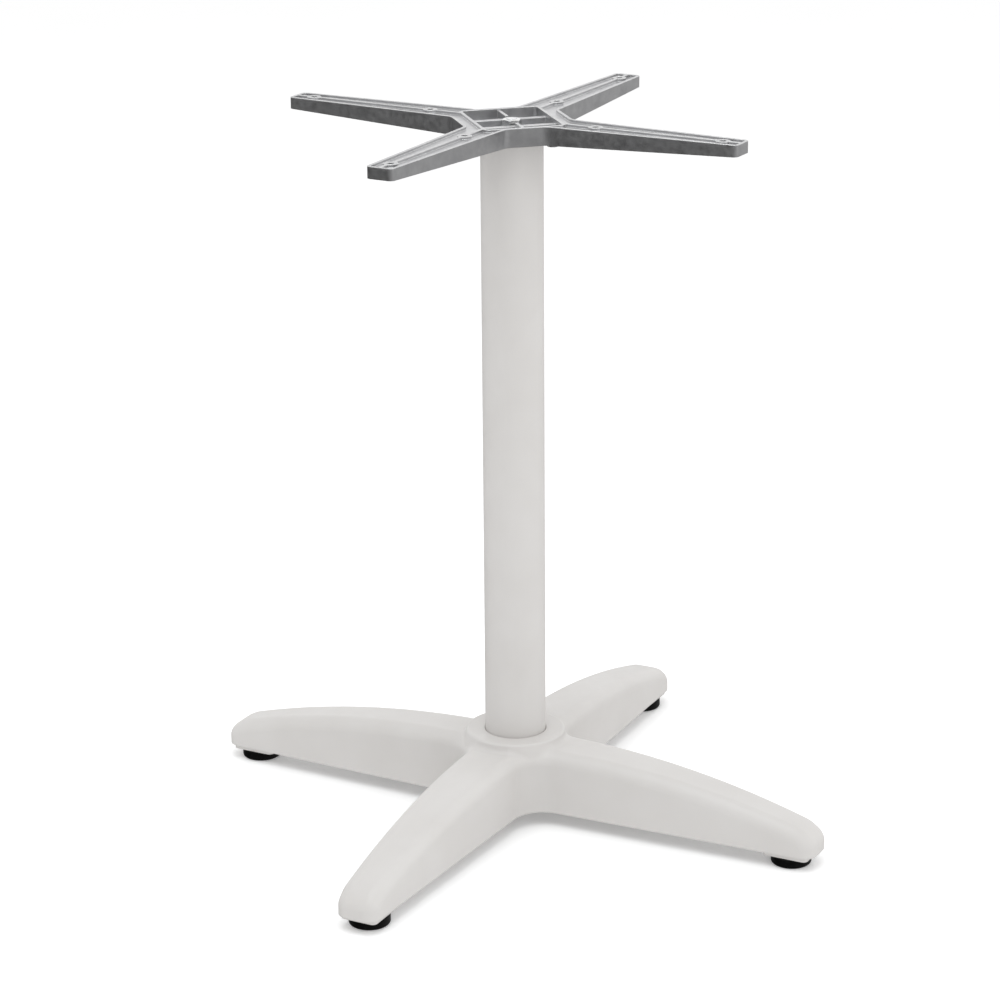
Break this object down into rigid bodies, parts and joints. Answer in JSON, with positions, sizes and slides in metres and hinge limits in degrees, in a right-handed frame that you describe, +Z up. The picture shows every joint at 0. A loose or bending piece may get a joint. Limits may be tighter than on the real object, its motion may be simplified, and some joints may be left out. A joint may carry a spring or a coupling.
{
  "type": "dining table base",
  "caption": "Pedestal table base: white cast star base on black levelling glides, round column and bare cast aluminium spider that screws to a table top.",
  "frame": {"origin": "on the floor under the column's axis, with the glides screwed in", "axes": "+Z up along the column, -Y towards the front, legs on the diagonals between X and Y"},
  "size_m": [0.496, 0.496, 0.72],
  "materials": {
    "white_coat": "fine satin powder coat on aluminium",
    "cast_aluminium": "raw casting, satin",
    "zinc_steel": "bright zinc plate",
    "black_plastic": "moulded, satin"
  },
  "bodies": {
    "stand": {"base_casting": "white_coat", "column_tube": "white_coat", "top_spider": "cast_aluminium", "tie_rod": "zinc_steel", "top_nut": "zinc_steel", "top_washer": "zinc_steel", "bottom_nut": "zinc_steel", "bottom_washer": "zinc_steel"},
    "glide_back_right": {"glide_pad_back_right": "black_plastic", "glide_stud_back_right": "zinc_steel"},
    "glide_back_left": {"glide_pad_back_left": "black_plastic", "glide_stud_back_left": "zinc_steel"},
    "glide_front_left": {"glide_pad_front_left": "black_plastic", "glide_stud_front_left": "zinc_steel"},
    "glide_front_right": {"glide_pad_front_right": "black_plastic", "glide_stud_front_right": "zinc_steel"}
  },
  "joints": [
    {"name": "level_back_right", "type": "slide", "parent": "stand", "child": "glide_back_right", "axis": [0, 0, -1], "range_m": [0, 0.01]},
    {"name": "level_back_left", "type": "slide", "parent": "stand", "child": "glide_back_left", "axis": [0, 0, -1], "range_m": [0, 0.01]},
    {"name": "level_front_left", "type": "slide", "parent": "stand", "child": "glide_front_left", "axis": [0, 0, -1], "range_m": [0, 0.01]},
    {"name": "level_front_right", "type": "slide", "parent": "stand", "child": "glide_front_right", "axis": [0, 0, -1], "range_m": [0, 0.01]}
  ]
}
